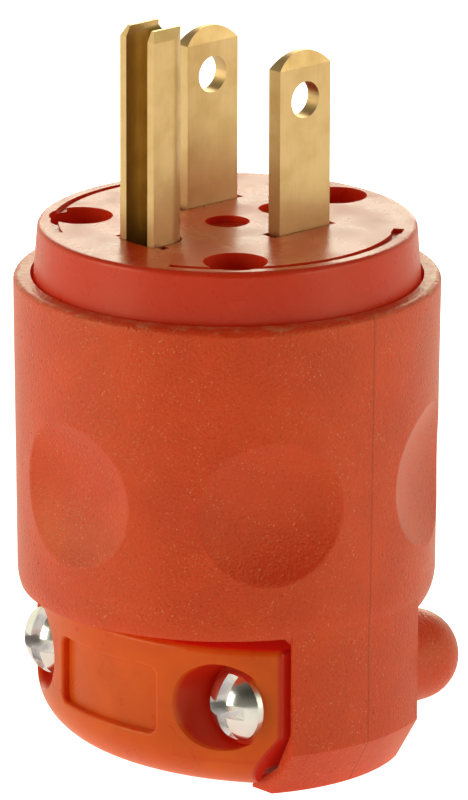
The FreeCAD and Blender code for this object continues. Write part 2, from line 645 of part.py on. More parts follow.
def panelRim(edge):
    # the panel's closed rim lies on the clamp's front
    box = edge.BoundBox
    arc = size("Sizes.clampArc")
    ends = [edge.valueAt(edge.FirstParameter), edge.valueAt(edge.LastParameter)]
    onFront = all(near(math.hypot(point.x, point.y - size(CLAMP_CENTRE)), arc) for point in ends)
    inside = max(abs(box.XMin), abs(box.XMax)) < size("Sizes.panelHalf") + SAME_PLACE
    return onFront and inside and box.ZMin > size(PANEL_BOTTOM) - SAME_PLACE


# Blade carrier: a cup whose face holds the slots and the screw wells


def polar(sign, radius, angle):
    # a point at an angle from +X, or from -X for the left side
    return (f"{sign} * {radius} * cos({angle} * 1deg)", f"{radius} * sin({angle} * 1deg)")


def carrierBody():
    body = newBody("blade_carrier")

    profile = newSketch(body, "CarrierProfile", "XZ_Plane")
    under = f"({FACE} - Sizes.plateThickness)"
    bore = f"({BLOCK} + Sizes.carrierGap)"
    loop(profile, [
        ("0", under),
        (bore, under),
        (bore, LEDGE),
        (CARRIER, LEDGE),
        (CARRIER, "Sizes.ringTop"),
        (FACE_EDGE, f"{FACE} - Sizes.faceRound"),
        (f"{FACE_EDGE} - Sizes.faceRound", FACE, "left", "Sizes.faceRound"),
        ("0", FACE),
    ])
    spin("Revolution", body, profile, "V_Axis")

    supports = newSketch(body, "WellWalls", "XY_Plane", ("0", "0", BLOCK_TOP))
    towers = newSketch(body, "SlotTowers", "XY_Plane", ("0", "0", BLOCK_TOP))
    wells = newSketch(body, "Wells", "XY_Plane", ("0", "0", FACE))
    shanks = newSketch(body, "ShankHoles", "XY_Plane", ("0", "0", FACE))
    for u, v in ASSEMBLY_PLACES.values():
        circle(supports, u, v, "Sizes.wellRadius + Sizes.bossWall")
        circle(wells, u, v, "Sizes.wellRadius")
        circle(shanks, u, v, "Sizes.assemblyShank + Sizes.shankGap")
    for sign in SIDES.values():
        middle = f"{sign} * Sizes.bladeSpacing / 2"
        wall = "(Sizes.bladeThickness / 2 + 2 * Sizes.bossWall)"
        half = "(Sizes.slotLength / 2 + Sizes.bossWall)"
        rectangle(towers, f"{middle} - {wall}", f"{middle} + {wall}",
                  f"Sizes.bladeY - {half}", f"Sizes.bladeY + {half}")
    circle(towers, "0", "-Sizes.pinCentre", "Sizes.pinSlotEar + Sizes.bossWall")
    depth = f"{FACE} - {BLOCK_TOP} - Sizes.plateThickness / 2"
    pad(body, supports, depth)
    pad(body, towers, depth)
    pocket(body, wells, f"{FACE} - {WELL_FLOOR}")
    pocket(body, shanks, f"{FACE} - {BLOCK_TOP} + Sizes.cutOver")

    slots = newSketch(body, "BladeSlots", "XY_Plane", ("0", "0", FACE))
    for sign in SIDES.values():
        middle = f"{sign} * Sizes.bladeSpacing / 2"
        half = "(Sizes.bladeThickness / 2 + Sizes.slotGap)"
        rectangle(slots, f"{middle} - {half}", f"{middle} + {half}",
                  "Sizes.bladeY - Sizes.slotLength / 2", "Sizes.bladeY + Sizes.slotLength / 2")
    pocket(body, slots, f"{FACE} - {BLOCK_TOP} + Sizes.cutOver")

    pinSlot = newSketch(body, "PinSlot", "XY_Plane", ("0", "0", FACE))
    around = "(Sizes.pinHalf + Sizes.pinSlotGap)"
    loop(pinSlot, [
        ("-" + around, f"-{PIN_FRONT} - Sizes.pinSlotGap"),
        (around, f"-{PIN_FRONT} - Sizes.pinSlotGap"),
        (around, f"-{EAR_FRONT}"),
        ("Sizes.pinSlotEar", f"-{EAR_FRONT}"),
        ("Sizes.pinSlotEar", f"-{EAR_BACK}"),
        (around, f"-{EAR_BACK}"),
        (around, "-Sizes.pinCentre"),
        ("0", f"-Sizes.pinCentre + {around}", "left", around),
        ("-" + around, "-Sizes.pinCentre", "left", around),
        ("-" + around, f"-{EAR_BACK}"),
        ("-Sizes.pinSlotEar", f"-{EAR_BACK}"),
        ("-Sizes.pinSlotEar", f"-{EAR_FRONT}"),
        ("-" + around, f"-{EAR_FRONT}"),
    ])
    pocket(body, pinSlot, f"{FACE} - {BLOCK_TOP} + Sizes.cutOver")

    dots = newSketch(body, "FaceRecesses", "XY_Plane", ("0", "0", FACE))
    circle(dots, "0", "0", "Sizes.dotRadius")
    circle(dots, "0", "Sizes.dotY", "Sizes.dotRadius")
    pocket(body, dots, "Sizes.dotDepth")

    for side, sign in SIDES.items():
        groove = newSketch(body, f"FaceGroove_{side}", "XY_Plane", ("0", "0", FACE))
        inner = f"({GROOVE} - Sizes.grooveWidth / 2)"
        outer = f"({GROOVE} + Sizes.grooveWidth / 2)"
        flareIn = f"({inner} - Sizes.grooveFlare)"
        flareOut = f"({outer} + Sizes.grooveFlare)"
        onward, back = ("left", "right") if sign > 0 else ("right", "left")
        loop(groove, [
            polar(sign, inner, "Sizes.grooveStart") + (back, inner),
            polar(sign, outer, "Sizes.grooveStart"),
            polar(sign, outer, "Sizes.grooveNeck") + (onward, outer),
            polar(sign, flareOut, "Sizes.grooveNeck"),
            polar(sign, flareOut, "Sizes.grooveEnd") + (onward, flareOut),
            polar(sign, flareIn, "Sizes.grooveEnd"),
            polar(sign, flareIn, "Sizes.grooveNeck") + (back, flareIn),
            polar(sign, inner, "Sizes.grooveNeck"),
        ])
        pocket(body, groove, "Sizes.grooveDepth")
    return body


# Terminal block: a round insulator with three pockets open to the side


def outwards(sign, inner, outer):
    # left and right ends of a span that lies on one side of the axis
    return (inner, outer) if sign > 0 else ("-" + outer, "-" + inner)


def blockBody():
    body = newBody("terminal_block")
    disc = newSketch(body, "BlockDisc", "XY_Plane", ("0", "0", POST_TOP))
    circle(disc, "0", "0", BLOCK)
    pad(body, disc, f"{BLOCK_TOP} - {POST_TOP}")

    pockets = newSketch(body, "BlockPockets", "XY_Plane", ("0", "0", BLOCK_TOP))
    wires = newSketch(body, "WireSlots", "XY_Plane", ("0", "0", POCKET_FLOOR))
    half = "(Sizes.tabHalf + Sizes.tabClearance)"
    beyond = f"({BLOCK} + Sizes.cutOver)"
    inward = "(Sizes.terminalLength - Sizes.plateSheet - Sizes.bladeThickness + Sizes.tabClearance)"
    inner = f"(Sizes.bladeSpacing / 2 - Sizes.bladeThickness / 2 - {inward})"
    tabFace = "(Sizes.bladeSpacing / 2 + Sizes.bladeThickness / 2)"
    for sign in SIDES.values():
        rectangle(pockets, *outwards(sign, inner, beyond), f"Sizes.bladeY - {half}", f"Sizes.bladeY + {half}")
        rectangle(wires, *outwards(sign, tabFace, f"({tabFace} + 2 * Sizes.wireSlotHalf)"),
                  "Sizes.bladeY - Sizes.plateHalf", "Sizes.bladeY + Sizes.plateHalf")
    pinTab = "(Sizes.pinCentre - Sizes.pinHalf)"
    pinInner = f"({pinTab} - Sizes.terminalLength + Sizes.plateSheet + Sizes.pinWall - Sizes.tabClearance)"
    rectangle(pockets, "-" + half, half, "-" + beyond, "-" + pinInner)
    pinFace = f"({pinTab} + Sizes.pinWall)"
    rectangle(wires, "-Sizes.plateHalf", "Sizes.plateHalf",
              f"-{pinFace} - 2 * Sizes.wireSlotHalf", "-" + pinFace)
    pocket(body, pockets, f"{BLOCK_TOP} - {POCKET_FLOOR}")
    pocket(body, wires, f"{POCKET_FLOOR} - {POST_TOP} + Sizes.cutOver")

    holes = newSketch(body, "BlockHoles", "XY_Plane", ("0", "0", BLOCK_TOP))
    for u, v in ASSEMBLY_PLACES.values():
        circle(holes, u, v, "Sizes.assemblyShank + Sizes.shankGap")
    pocket(body, holes, f"{BLOCK_TOP} - {POST_TOP} + Sizes.cutOver")
    return body


# Blades: one flat piece from the bevelled tip to the terminal tab


def bladeBody(label, sign):
    body = newBody(label)
    outline = newSketch(body, f"{label}_Outline", "YZ_Plane", ("0", "0", f"{sign} * Sizes.bladeSpacing / 2"))
    edge = "Sizes.bladeWidth / 2"
    tipRadius = f"((({edge})^2 + Sizes.bladeBevel^2) / (2 * Sizes.bladeBevel))"
    tip = f"{FACE} + Sizes.bladeReach"
    shoulder = f"{tip} - Sizes.bladeBevel"
    loop(outline, [
        ("Sizes.bladeY - Sizes.tabHalf", TAB_BOTTOM),
        ("Sizes.bladeY + Sizes.tabHalf", TAB_BOTTOM),
        ("Sizes.bladeY + Sizes.tabHalf", BLOCK_TOP),
        (f"Sizes.bladeY + {edge}", BLOCK_TOP),
        (f"Sizes.bladeY + {edge}", shoulder),
        ("Sizes.bladeY", tip, "left", tipRadius),
        (f"Sizes.bladeY - {edge}", shoulder, "left", tipRadius),
        (f"Sizes.bladeY - {edge}", BLOCK_TOP),
        ("Sizes.bladeY - Sizes.tabHalf", BLOCK_TOP),
    ])
    pad(body, outline, "Sizes.bladeThickness", midplane=True)

    holes = newSketch(body, f"{label}_Holes", "YZ_Plane", ("0", "0", f"{sign} * Sizes.bladeSpacing / 2"))
    circle(holes, "Sizes.bladeY", f"{tip} - Sizes.bladeHoleDrop", "Sizes.bladeHoleRadius")
    circle(holes, "Sizes.bladeY", TERMINAL, "Sizes.terminalShank + Sizes.threadGap")
    pocket(body, holes, "2 * Sizes.bladeThickness", midplane=True)

    for name, face in (("Inner", -1), ("Outer", 1)):
        bevel = newSketch(body, f"{label}_{name}Bevel", "XZ_Plane",
                          (f"{sign} * Sizes.bladeSpacing / 2", "0", "-Sizes.bladeY"))
        skin = f"{face} * Sizes.bladeThickness / 2"
        left = f"{face} * Sizes.bladeTipFlat / 2"
        loop(bevel, [
            (skin, shoulder),
            (left, tip),
            (left, f"{tip} + Sizes.cutOver"),
            (f"{face} * Sizes.bladeThickness", f"{tip} + Sizes.cutOver"),
            (f"{face} * Sizes.bladeThickness", shoulder),
        ])
        pocket(body, bevel, "2 * Sizes.bladeWidth", midplane=True)
    return body


# Ground pin: sheet folded into a channel, with a tab that continues its round back


def pinBody():
    body = newBody("ground_pin")
    section = newSketch(body, "PinSection", "XY_Plane", ("0", "0", BLOCK_TOP))
    inside = "(Sizes.pinHalf - Sizes.pinWall)"
    loop(section, [
        (inside, f"-{PIN_FRONT}"),
        ("Sizes.pinHalf", f"-{PIN_FRONT}"),
        ("Sizes.pinHalf", "-Sizes.pinCentre"),
        ("0", "-Sizes.pinCentre + Sizes.pinHalf", "left", "Sizes.pinHalf"),
        ("-Sizes.pinHalf", "-Sizes.pinCentre", "left", "Sizes.pinHalf"),
        ("-Sizes.pinHalf", f"-{PIN_FRONT}"),
        ("-" + inside, f"-{PIN_FRONT}"),
        ("-" + inside, "-Sizes.pinCentre"),
        ("0", f"-Sizes.pinCentre + {inside}", "right", inside),
        (inside, "-Sizes.pinCentre", "right", inside),
    ])
    pad(body, section, f"{FACE} + Sizes.pinReach - {BLOCK_TOP}")

    tab = newSketch(body, "PinTab", "XZ_Plane", ("0", "0", "Sizes.pinCentre - Sizes.pinHalf"))
    rectangle(tab, "-Sizes.tabHalf", "Sizes.tabHalf", TAB_BOTTOM, BLOCK_TOP)
    pad(body, tab, "Sizes.pinWall")
    hole = newSketch(body, "PinTabHole", "XZ_Plane", ("0", "0", "Sizes.pinCentre"))
    circle(hole, "0", TERMINAL, "Sizes.terminalShank + Sizes.threadGap")
    pocket(body, hole, "Sizes.pinHalf + Sizes.cutOver")

    top = f"{FACE} + Sizes.pinReach"
    for name, face in (("Left", -1), ("Right", 1)):
        bevel = newSketch(body, f"Pin{name}Bevel", "XZ_Plane", ("0", "0", "Sizes.pinCentre"))
        loop(bevel, [
            (f"{face} * Sizes.pinHalf", f"{top} - Sizes.pinTip"),
            (f"{face} * (Sizes.pinHalf - Sizes.pinTaper)", top),
            (f"{face} * (Sizes.pinHalf - Sizes.pinTaper)", f"{top} + Sizes.cutOver"),
            (f"{face} * (Sizes.pinHalf + Sizes.cutOver)", f"{top} + Sizes.cutOver"),
            (f"{face} * (Sizes.pinHalf + Sizes.cutOver)", f"{top} - Sizes.pinTip"),
        ])
        pocket(body, bevel, "4 * Sizes.pinHalf", midplane=True)
    for name, face, edge in (("Front", -1, PIN_FRONT), ("Back", 1, "(Sizes.pinHalf - Sizes.pinCentre)")):
        bevel = newSketch(body, f"Pin{name}Bevel", "YZ_Plane")
        start = f"{face} * {edge}" if face < 0 else edge
        loop(bevel, [
            (start, f"{top} - Sizes.pinTip"),
            (f"{start} - {face} * Sizes.pinTaper", top),
            (f"{start} - {face} * Sizes.pinTaper", f"{top} + Sizes.cutOver"),
            (f"{start} + {face} * Sizes.cutOver", f"{top} + Sizes.cutOver"),
            (f"{start} + {face} * Sizes.cutOver", f"{top} - Sizes.pinTip"),
        ])
        pocket(body, bevel, "4 * Sizes.pinHalf", midplane=True)

    notch = newSketch(body, "PinNotch", "XZ_Plane", ("0", "0", "Sizes.pinCentre"))
    loop(notch, [
        ("-Sizes.pinNotchHalf", f"{top} + Sizes.cutOver"),
        ("Sizes.pinNotchHalf", f"{top} + Sizes.cutOver"),
        ("Sizes.pinNotchHalf", f"{top} - Sizes.pinNotchSide"),
        ("-Sizes.pinNotchHalf", f"{top} - Sizes.pinNotchSide", "right", "Sizes.pinNotchRound"),
    ])
    pocket(body, notch, "Sizes.pinHalf + Sizes.cutOver")
    return body


# Screws, plates and inserts


def screwBody(label, plane, offset, axis, flip, sizes):
    head, headHeight, rim, shank, length = sizes
    body = newBody(label)
    sketch = newSketch(body, f"{label}_Profile", plane, offset)
    dome = f"({headHeight} - {rim})"
    radius = f"(({head}^2 + {dome}^2) / (2 * {dome}))"
    corners = [
        ("0", f"{flip} * -({headHeight})", None, None),
        (head, f"{flip} * -({rim})", "arc", radius),
        (head, "0", None, None),
        (shank, "0", None, None),
        (shank, f"{flip} * ({length} - Sizes.pointLength)", None, None),
        (f"{shank} - Sizes.pointLength / 2", f"{flip} * ({length})", None, None),
        ("0", f"{flip} * ({length})", None, None),
    ]
    path = []
    for across, along, kind, bend in corners:
        u, v = (across, along) if axis == "V_Axis" else (along, across)
        if kind == "arc":
            leftTurn = (flip > 0) == (axis == "V_Axis")
            path.append((u, v, "left" if leftTurn else "right", bend))
        else:
            path.append((u, v))
    loop(sketch, path)
    spin("Revolution", body, sketch, axis)
    return body


PLAIN_DRIVE = ("Sizes.slotWidth", "Sizes.slotDepth", "Sizes.crossHalf", "Sizes.crossWidth",
               "Sizes.crossDepth")
CLAMP_DRIVE = ("Sizes.clampSlotWidth", "Sizes.clampSlotDepth", "Sizes.clampCrossHalf",
               "Sizes.clampCrossWidth", "Sizes.clampCrossDepth")


def driveRecess(body, label, plane, offset, reverse, slotHalf, drive=PLAIN_DRIVE):
    slotWidth, slotDepth, wide, crossWidth, crossDepth = drive
    slot = newSketch(body, f"{label}_Slot", plane, offset)
    rectangle(slot, f"-{slotWidth} / 2", f"{slotWidth} / 2", f"-{slotHalf}", slotHalf)
    pocket(body, slot, slotDepth, reverse=reverse)
    cross = newSketch(body, f"{label}_Cross", plane, offset)
    narrow = f"{crossWidth} / 2"
    loop(cross, [
        ("-" + wide, "-" + narrow), ("-" + narrow, "-" + narrow), ("-" + narrow, "-" + wide),
        (narrow, "-" + wide), (narrow, "-" + narrow), (wide, "-" + narrow),
        (wide, narrow), (narrow, narrow), (narrow, wide),
        ("-" + narrow, wide), ("-" + narrow, narrow), ("-" + wide, narrow),
    ])
    pocket(body, cross, crossDepth, reverse=reverse)


def clampScrewBody(side, sign):
    label = f"clamp_screw_{side}"
    place = (f"{sign} * {SCREW_X}", f"-{SCREW_SEAT}", "Sizes.clampScrewZ")
    body = screwBody(label, "XY_Plane", place, "V_Axis", 1, (
        "Sizes.clampHeadRadius", "Sizes.clampHeadHeight", "Sizes.clampHeadRim",
        "Sizes.clampShank", f"({SCREW_SEAT} + {SHANK_END})"))
    front = (f"{sign} * {SCREW_X}", "Sizes.clampScrewZ",
             f"{SCREW_SEAT} + Sizes.clampHeadHeight")
    driveRecess(body, label, "XZ_Plane", front, False, "Sizes.clampHeadRadius * 2", CLAMP_DRIVE)
    return body


def assemblyScrewBody(side, u, v):
    label = f"assembly_screw_{side}"
    body = screwBody(label, "XZ_Plane", (u, WELL_FLOOR, f"-({v})"), "V_Axis", -1, (
        "Sizes.assemblyHead", "Sizes.assemblyHeadHeight", "Sizes.assemblyHeadRim",
        "Sizes.assemblyShank", f"({WELL_FLOOR} - {POST_TOP} + Sizes.assemblyGrip)"))
    top = (u, v, f"{WELL_FLOOR} + Sizes.assemblyHeadHeight")
    driveRecess(body, label, "XY_Plane", top, False, "Sizes.assemblyHead * 2")
    return body


TERMINAL_SCREW = ("Sizes.terminalHead", "Sizes.terminalHeadHeight", "Sizes.terminalHeadRim",
                  "Sizes.terminalShank", "Sizes.terminalLength")


def terminalPieces(name, sign):
    tabFace = "(Sizes.bladeSpacing / 2 + Sizes.bladeThickness / 2)"
    plate = newBody(f"{name}_wire_clamp")
    outline = newSketch(plate, f"{name}_Plate", "YZ_Plane",
                        ("Sizes.bladeY", TERMINAL, f"{sign} * {tabFace}"))
    plateOutline(outline)
    pad(plate, outline, "Sizes.plateSheet", reverse=sign < 0)

    label = f"{name}_terminal_screw"
    seat = f"({tabFace} + Sizes.plateSheet)"
    screw = screwBody(label, "XZ_Plane", (f"{sign} * {seat}", TERMINAL, "-Sizes.bladeY"),
                      "H_Axis", -sign, TERMINAL_SCREW)
    front = ("Sizes.bladeY", TERMINAL, f"{sign} * ({seat} + Sizes.terminalHeadHeight)")
    driveRecess(screw, label, "YZ_Plane", front, sign < 0, "Sizes.terminalHead * 2")
    return [plate, screw]


def groundPieces():
    tabFace = "(Sizes.pinCentre - Sizes.pinHalf + Sizes.pinWall)"
    plate = newBody("ground_wire_clamp")
    outline = newSketch(plate, "ground_Plate", "XZ_Plane", ("0", TERMINAL, tabFace))
    plateOutline(outline)
    pad(plate, outline, "Sizes.plateSheet")

    label = "ground_terminal_screw"
    seat = f"({tabFace} + Sizes.plateSheet)"
    screw = screwBody(label, "YZ_Plane", (f"-{seat}", TERMINAL, "0"), "H_Axis", 1, TERMINAL_SCREW)
    front = ("0", TERMINAL, f"{seat} + Sizes.terminalHeadHeight")
    driveRecess(screw, label, "XZ_Plane", front, False, "Sizes.terminalHead * 2")
    return [plate, screw]


def plateOutline(sketch):
    full, cut = "Sizes.plateHalf", "(Sizes.plateHalf - Sizes.plateCorner)"
    loop(sketch, [
        ("-" + cut, "-" + full), (cut, "-" + full), (full, "-" + cut), (full, cut),
        (cut, full), ("-" + cut, full), ("-" + full, cut), ("-" + full, "-" + cut),
    ])
    circle(sketch, "0", "0", "Sizes.terminalShank + Sizes.threadGap")


def insertBody(side, sign):
    body = newBody(f"clamp_insert_{side}")
    tube = newSketch(body, f"Insert_{side}", "XZ_Plane",
                     (f"{sign} * {SCREW_X}", "Sizes.clampScrewZ", "-Sizes.insertStart"))
    circle(tube, "0", "0", "Sizes.insertRadius")
    circle(tube, "0", "0", "Sizes.clampShank + Sizes.threadGap")
    pad(body, tube, f"{INSERT_END} - Sizes.insertStart", reverse=True)
    return body


pieces = [housingBody(), carrierBody(), blockBody(), pinBody(), clampBody()]
pieces += [bladeBody("neutral_blade", 1), bladeBody("hot_blade", -1)]
pieces += terminalPieces("neutral", 1) + terminalPieces("hot", -1) + groundPieces()
for side, (u, v) in ASSEMBLY_PLACES.items():
    pieces.append(assemblyScrewBody(side, u, v))
for side, sign in SIDES.items():
    pieces += [clampScrewBody(side, sign), insertBody(side, sign)]
doc.recompute()

# Every object is sound and every cut takes something away before anything is written

CUTS = ("PartDesign::Pocket", "PartDesign::Groove", "PartDesign::PolarPattern")
for item in doc.Objects:
    if "Invalid" in item.State or "Error" in item.State:
        raise RuntimeError(f"{item.Name} failed: {item.State}")
for body in pieces:
    if body.Shape.isNull() or not body.Shape.isValid():
        raise RuntimeError(f"{body.Label} has no sound shape")
    solidSteps = [step for step in body.Group if step.isDerivedFrom("PartDesign::Feature")]
    for before, step in zip(solidSteps, solidSteps[1:]):
        if step.TypeId in CUTS and step.Shape.Volume > before.Shape.Volume - LEAST_CUT:
            raise RuntimeError(f"{step.Name} takes nothing away")

os.makedirs("parts", exist_ok=True)
for body in pieces:
    body.Shape.exportStep(f"parts/{body.Label}.step")
    print(f"{body.Label}: {body.Shape.Volume:.1f} mm3, {len(body.Shape.Solids)} solid")
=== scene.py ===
import bpy
import math
from mathutils import Matrix, Vector

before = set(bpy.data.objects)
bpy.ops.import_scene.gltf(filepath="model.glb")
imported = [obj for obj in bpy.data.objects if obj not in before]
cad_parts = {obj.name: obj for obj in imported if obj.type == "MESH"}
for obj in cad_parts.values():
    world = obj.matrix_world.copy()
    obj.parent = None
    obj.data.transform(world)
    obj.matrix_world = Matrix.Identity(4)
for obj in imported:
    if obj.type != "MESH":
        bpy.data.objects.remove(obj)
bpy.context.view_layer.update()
mm = 0.001


# Camera, at the angle of the photograph

photoView = {
    "azimuth": 47.347,        # degrees, 0 looks along +Y
    "elevation": 16.7575,
    "roll": 0.1916,
    "distance": 763.35 * mm,
    "aimHeight": 33.368 * mm,
    "aimRight": 0.672 * mm,   # aim point right of the plug's axis
    "focalPixels": 8118.98,
    "framePixels": 800,       # long side of the picture
    "sensor": 36.0,
    "clip": (0.01, 20),
}


def towards(azimuth, elevation):      # unit vector from the plug to that side
    a, e = math.radians(azimuth), math.radians(elevation)
    return Vector((math.sin(a) * math.cos(e), -math.cos(a) * math.cos(e), math.sin(e)))


def placeCamera(view):
    azimuth, roll = math.radians(view["azimuth"]), math.radians(view["roll"])
    back = towards(view["azimuth"], view["elevation"])
    levelRight = Vector((math.cos(azimuth), math.sin(azimuth), 0))
    levelUp = back.cross(levelRight)
    right = levelRight * math.cos(roll) + levelUp * math.sin(roll)
    up = levelUp * math.cos(roll) - levelRight * math.sin(roll)
    aim = Vector((0, 0, view["aimHeight"])) + levelRight * view["aimRight"]
    data = bpy.data.cameras.new("photoCamera")
    data.sensor_width = view["sensor"]
    data.lens = view["focalPixels"] * view["sensor"] / view["framePixels"]
    data.clip_start, data.clip_end = view["clip"]
    camera = bpy.data.objects.new("photoCamera", data)
    bpy.context.scene.collection.objects.link(camera)
    turn = Matrix((right, up, back)).transposed()
    camera.matrix_world = Matrix.Translation(aim + back * view["distance"]) @ turn.to_4x4()
    bpy.context.scene.camera = camera


placeCamera(photoView)
print("camera placed")


# Shader wiring: a Wire is one value in a material, and sums with it make math nodes

class Wire:
    def __init__(self, paint, socket):
        self.paint, self.socket = paint, socket

    def sums(self, operation, *values):
        return self.paint.add("ShaderNodeMath", {"operation": operation}, dict(enumerate(values)))

    def __add__(self, other):
        return self.sums("ADD", self, other)

    def __radd__(self, other):
        return self.sums("ADD", other, self)

    def __sub__(self, other):
        return self.sums("SUBTRACT", self, other)

    def __rsub__(self, other):
        return self.sums("SUBTRACT", other, self)

    def __mul__(self, other):
        return self.sums("MULTIPLY", self, other)

    def __abs__(self):
        return self.sums("ABSOLUTE", self)


# A Paint is one material, or the surround. After measure() it works in millimetres over the plug.

class Paint:
    def __init__(self, name, tree=None):
        self.material = None
        if tree is None:
            self.material = bpy.data.materials.new(name)
            self.material.use_nodes = True
            tree = self.material.node_tree
        self.tree = tree
        self.tree.nodes.clear()
        self.inner = {}

    def add(self, kind, settings, sockets, out=0):
        node = self.tree.nodes.new(kind)
        for key, value in settings.items():
            setattr(node, key, value)
        for key, value in sockets.items():
            if isinstance(value, Wire):
                self.tree.links.new(value.socket, node.inputs[key])
            else:
                node.inputs[key].default_value = value
        return Wire(self, node.outputs[out]) if node.outputs else None

    def measure(self):
        metres = self.add("ShaderNodeTexCoord", {}, {}, out="Object")
        scaled = {0: metres, "Scale": 1 / mm}
        self.place = self.add("ShaderNodeVectorMath", {"operation": "SCALE"}, scaled)
        self.x, self.y, self.z = (self.part(self.place, axis) for axis in "XYZ")
        return self

    def part(self, vector, axis):
        return self.add("ShaderNodeSeparateXYZ", {}, {0: vector}, out=axis)

    def glow(self, look):                  # light that wanders inside the plastic
        self.inner = {
            "Subsurface Weight": look["inside"],
            "Subsurface Radius": look["spread"],
            "Subsurface Scale": look["reach"] * mm,
        }
        return self

    def noise(self, size, detail, offset=0, stretch=(1, 1, 1)):
        moved = {"Vector": self.place, "Location": (offset, offset, offset), "Scale": stretch}
        placed = self.add("ShaderNodeMapping", {}, moved)
        sockets = {"Vector": placed, "Scale": 1 / size, "Detail": detail}
        return self.add("ShaderNodeTexNoise", {}, sockets)

    def swing(self, noise, reach):         # the noise about zero
        return (noise - 0.5) * reach

    def step(self, value, low, high):      # 0 below low, 1 above high, smooth between
        ends = {0: value, 1: low, 2: high}
        return self.add("ShaderNodeMapRange", {"interpolation_type": "SMOOTHSTEP"}, ends)

    def blend(self, mask, low, high):
        ends = [shade if isinstance(shade, Wire) else (*shade, 1) for shade in (low, high)]
        sockets = {0: mask, 6: ends[0], 7: ends[1]}
        return self.add("ShaderNodeMix", {"data_type": "RGBA"}, sockets, out=2)

    def bump(self, height):                # height in millimetres
        return self.add("ShaderNodeBump", {}, {"Height": height, "Distance": mm})

    def surface(self, sockets):
        sockets.update(self.inner)
        shader = self.add("ShaderNodeBsdfPrincipled", {}, sockets)
        self.add("ShaderNodeOutputMaterial", {}, {"Surface": shader})
        return self.material


# Finishes. A noise is (size in millimetres, detail, offset). Two numbers in a pair are where a
# pattern begins and where it is full. Heights are in millimetres, and a share runs from 0 to 1.

redSpread = (1.0, 0.22, 0.08)     # how far red, green and blue light wander, as shares of reach

housingLook = {
    "colour": (0.940, 0.069, 0.012),
    "deep": (0.750, 0.038, 0.007),
    "shine": 0.60,
    "tint": (0.95, 1.0, 0.55, 1),
    "dust": 0.05,                 # pale sheen at the silhouettes
    "dustColour": (1.0, 0.80, 0.34, 1),
    "roughness": 0.32,
    "roughnessSwing": 0.25,
    "inside": 0.35,               # share of the light that goes inside
    "spread": redSpread,
    "reach": 1.2,                 # how far it gets, in millimetres
    "grain": (0.26, 3),           # the moulded grain
    "grainHeight": 0.110,
    "grainShare": 1.2,
    "peel": (0.45, 2, 7),         # slow waves under it
    "peelHeight": 0.030,
    "cloud": (6.0, 2, 31),        # uneven colour
    "cloudTurn": (0.3, 0.75),
    "cloudShare": 0.5,
    "paleFloor": 0.25,            # share of the paler colour everywhere
    "speckColour": (0.950, 0.500, 0.250),
    "speck": (0.2, 1, 13),
    "speckTurn": (0.64, 0.74),
    "speckShare": 0.6,
    "patch": (3.0, 2, 53),        # where the specks lie
    "patchTurn": (0.3, 0.7),
    "seamColour": (0.420, 0.010, 0.003),
    "seam": 0.120,                # half the width of the mould's parting line
    "seamCore": 0.4,              # share of it that is full
    "seamShare": 0.55,
    "seamDepth": 0.008,
    "wander": (2.5, 2, 41),       # how the parting line strays
    "wanderReach": 0.15,
    # pale band on the ring's top: partly real moulding flash, partly a painted highlight along the
    # rounded edge
    "flashAndHighlightColour": (0.800, 0.360, 0.180),
    "crest": 45.9,                # height of the ring's top, where the ragged flash and a painted highlight along its rounded edge are
    "ragged": (0.5, 2, 3),
    "raggedReach": 0.9,
    "raggedTurn": (0.18, 0.42),
    "chip": (1.6, 2, 23),
    "chipTurn": (0.45, 0.65),
    "flashAndHighlightShare": 0.5,
    "flashHeight": 0.03,
}


def housingFinish():
    look = housingLook
    p = Paint("moulded housing").measure().glow(look)
    grain = p.noise(*look["grain"])
    peel = p.noise(*look["peel"])
    cloud = p.step(p.noise(*look["cloud"]), *look["cloudTurn"])
    patch = p.step(p.noise(*look["patch"]), *look["patchTurn"])
    speck = p.step(p.noise(*look["speck"]), *look["speckTurn"]) * patch
    strayed = abs(p.y + p.swing(p.noise(*look["wander"]), look["wanderReach"]))
    seam = 1 - p.step(strayed, look["seam"] * look["seamCore"], look["seam"])
    # this mask paints pale colour on the ring's top, part real flash and part painted highlight;
    # its bump stays real flash
    ragged = p.z - look["crest"] + p.noise(*look["ragged"]) * look["raggedReach"]
    chip = p.step(p.noise(*look["chip"]), *look["chipTurn"])
    flashAndHighlight = p.step(ragged, *look["raggedTurn"]) * chip
    mottle = cloud * look["cloudShare"] + p.swing(grain, look["grainShare"]) + look["paleFloor"]
    colour = p.blend(mottle, look["deep"], look["colour"])
    colour = p.blend(speck * look["speckShare"], colour, look["speckColour"])
    colour = p.blend(flashAndHighlight * look["flashAndHighlightShare"], colour, look["flashAndHighlightColour"])
    colour = p.blend(seam * look["seamShare"], colour, look["seamColour"])
    height = grain * look["grainHeight"] + peel * look["peelHeight"]
    height = height - seam * look["seamDepth"] + flashAndHighlight * look["flashHeight"]
    return p.surface({
        "Base Color": colour,
        "Roughness": look["roughness"] + p.swing(grain, look["roughnessSwing"]),
        "Specular IOR Level": look["shine"],
        "Specular Tint": look["tint"],
        "Sheen Weight": look["dust"],
        "Sheen Tint": look["dustColour"],
        "Normal": p.bump(height),
    })


carrierLook = {
    "colour": (0.830, 0.044, 0.009),
    "worn": (0.850, 0.068, 0.020),
    "shine": 0.45,
    "tint": (1.0, 0.92, 0.75, 1),
    "roughness": 0.25,
    "inside": 0.5,
    "spread": redSpread,
    "reach": 1.0,
    "grain": (0.25, 3),
    "grainHeight": 0.020,
    "wave": (1.6, 1, 5),
    "waveHeight": 0.012,
    "smudge": (3.5, 3, 11),
    "wornTurn": (0.42, 0.75),
    "wornShare": 0.5,
    "dullTurn": (0.3, 0.8),
    "dullRoughness": 0.14,
    "crevice": (0.12, 0.004, 0.002),   # stands for light scattered into the gap inside the ring
    "creviceTurn": (45.5, 45.9),       # the ring's top
}


